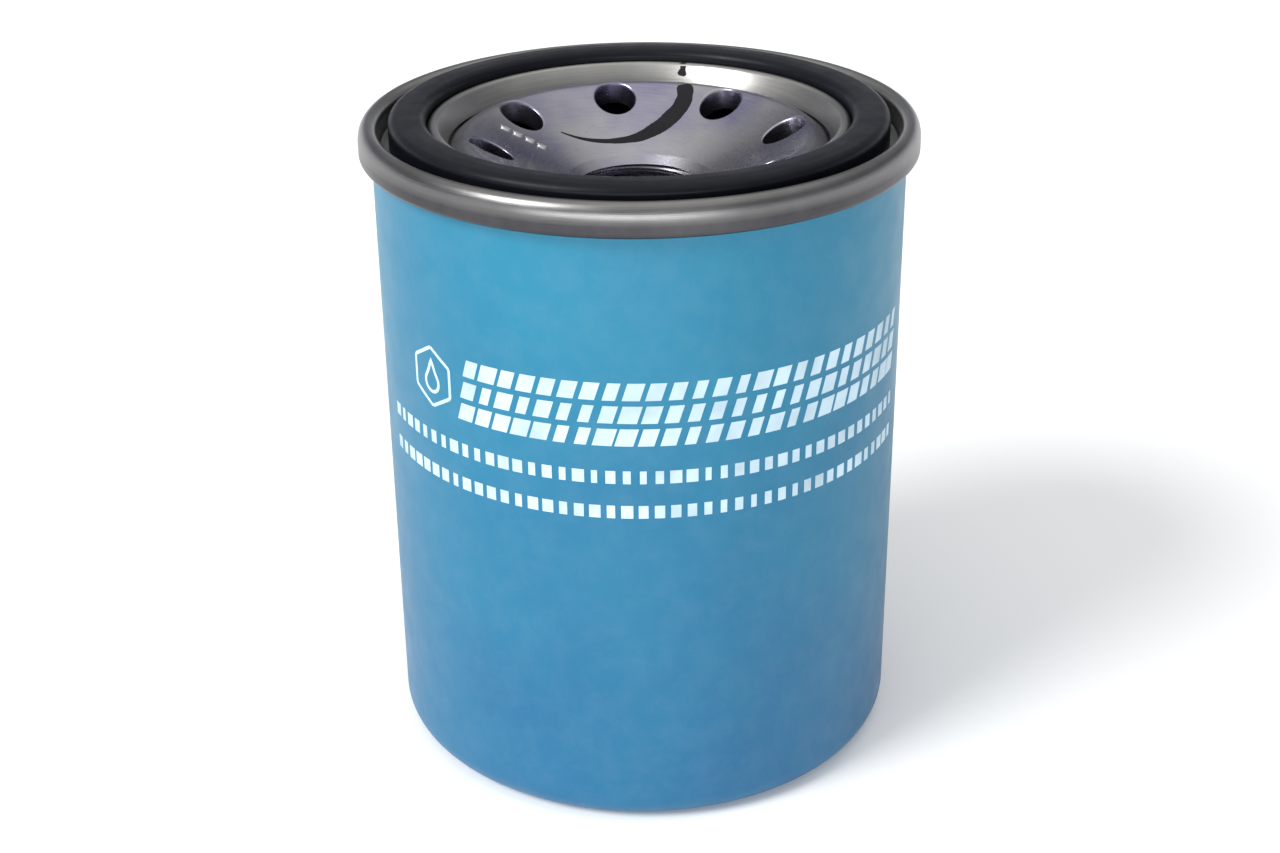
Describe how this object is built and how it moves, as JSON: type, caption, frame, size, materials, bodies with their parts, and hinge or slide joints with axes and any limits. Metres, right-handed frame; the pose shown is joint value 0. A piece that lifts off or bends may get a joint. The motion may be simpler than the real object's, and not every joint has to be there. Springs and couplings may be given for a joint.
{
  "type": "oil filter",
  "caption": "Spin-on oil filter: steel can with rolled seam, rubber gasket, dished base plate with threaded neck and ring of inlet holes, pleated element inside.",
  "frame": {"origin": "centre of the closed end, on the plane of its foot ring", "axes": "+Z along the mounting thread's axis, from the closed end to the thread end; +X through an inlet hole"},
  "size_m": [0.0796, 0.0796, 0.0959],
  "materials": {
    "can_paint": "satin light blue enamel",
    "lid_steel": "tinned sheet steel",
    "plate_steel": "zinc plated, faint violet tint",
    "gasket_rubber": "moulded, slightly oily",
    "seam_compound": "matte",
    "valve_rubber": "moulded nitrile",
    "cap_steel": "plain steel sheet",
    "spring_steel": "drawn wire",
    "adhesive": "cured adhesive",
    "filter_paper": "resin-treated paper"
  },
  "bodies": {
    "shell": {"can": "can_paint", "seam_lid": "lid_steel", "seam_sealant": "seam_compound", "base_plate": "plate_steel", "lid_spot_welds": "plate_steel", "gasket": "gasket_rubber", "support_spring": "spring_steel"},
    "element": {"upper_end_cap": "cap_steel", "upper_potting": "adhesive", "pleated_media": "filter_paper", "media_seam_clip": "cap_steel", "centre_tube": "cap_steel", "lower_potting": "adhesive", "lower_end_cap": "cap_steel", "bypass_housing": "cap_steel", "bypass_retainer": "cap_steel", "bypass_spring": "spring_steel"},
    "bypass_valve": {"bypass_poppet": "cap_steel", "bypass_seal": "gasket_rubber"},
    "drain_lip": {"drain_valve": "valve_rubber"}
  },
  "joints": [
    {"name": "element_float", "type": "slide", "parent": "shell", "child": "element", "axis": [0, 0, -1], "range_m": [0, 0.0015], "stiffness_N_per_m": 1500, "springref_m": -0.012, "deforming": ["support_spring"]},
    {"name": "bypass_open", "type": "slide", "parent": "element", "child": "bypass_valve", "axis": [0, 0, 1], "range_m": [0, 0.0035], "stiffness_N_per_m": 3200, "springref_m": -0.0035, "deforming": ["bypass_spring"]},
    {"name": "drain_lip_open", "type": "slide", "parent": "element", "child": "drain_lip", "axis": [0, 0, -1], "range_m": [0, 0.0012], "stiffness_N_per_m": 800, "springref_m": -0.0005, "deforming": ["drain_valve"]}
  ]
}
